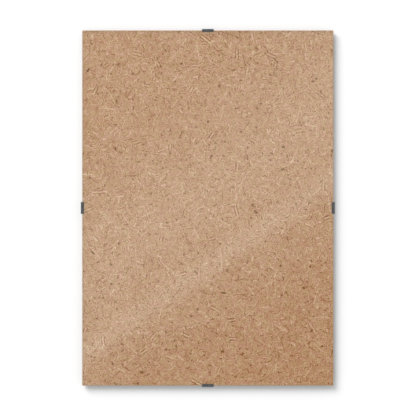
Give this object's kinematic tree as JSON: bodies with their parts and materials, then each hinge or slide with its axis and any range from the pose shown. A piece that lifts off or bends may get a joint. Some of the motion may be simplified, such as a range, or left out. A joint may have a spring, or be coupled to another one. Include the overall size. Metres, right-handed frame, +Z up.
{
  "type": "frameless clip frame",
  "caption": "Frameless picture frame: a clear glass sheet on a hardboard back, held at the middle of each side by a spring clip, with sawtooth hangers for upright or sideways hanging.",
  "frame": {"origin": "on the wall, at the nail that carries the middle notch of the upper hanger", "axes": "+Z up with the frame hanging upright, -Y towards the viewer, +X to the viewer's right"},
  "size_m": [0.2124, 0.0088, 0.2994],
  "materials": {
    "glass": "clear float glass, ground edges",
    "hardboard": "smooth pressed wood fibre, unpainted",
    "spring_steel": "dark oiled spring steel",
    "zinc_steel": "zinc plated"
  },
  "bodies": {
    "panel": {"glass_sheet": "glass", "backing_board": "hardboard", "hanger_portrait": "zinc_steel", "hanger_landscape": "zinc_steel"},
    "top_clip": {"clip_top": "spring_steel"},
    "right_clip": {"clip_right": "spring_steel"},
    "bottom_clip": {"clip_bottom": "spring_steel"},
    "left_clip": {"clip_left": "spring_steel"}
  },
  "joints": [
    {"name": "top_clip_swing", "type": "hinge", "parent": "panel", "child": "top_clip", "pos_m": [0, -0.0081, 0.03775], "axis": [1, 0, 0], "range_deg": [0, 45]},
    {"name": "right_clip_swing", "type": "hinge", "parent": "panel", "child": "right_clip", "pos_m": [0.10355, -0.0081, -0.1093], "axis": [0, 0, -1], "range_deg": [0, 45]},
    {"name": "bottom_clip_swing", "type": "hinge", "parent": "panel", "child": "bottom_clip", "pos_m": [0, -0.0081, -0.25635], "axis": [-1, 0, 0], "range_deg": [0, 45]},
    {"name": "left_clip_swing", "type": "hinge", "parent": "panel", "child": "left_clip", "pos_m": [-0.10355, -0.0081, -0.1093], "axis": [0, 0, 1], "range_deg": [0, 45]}
  ]
}
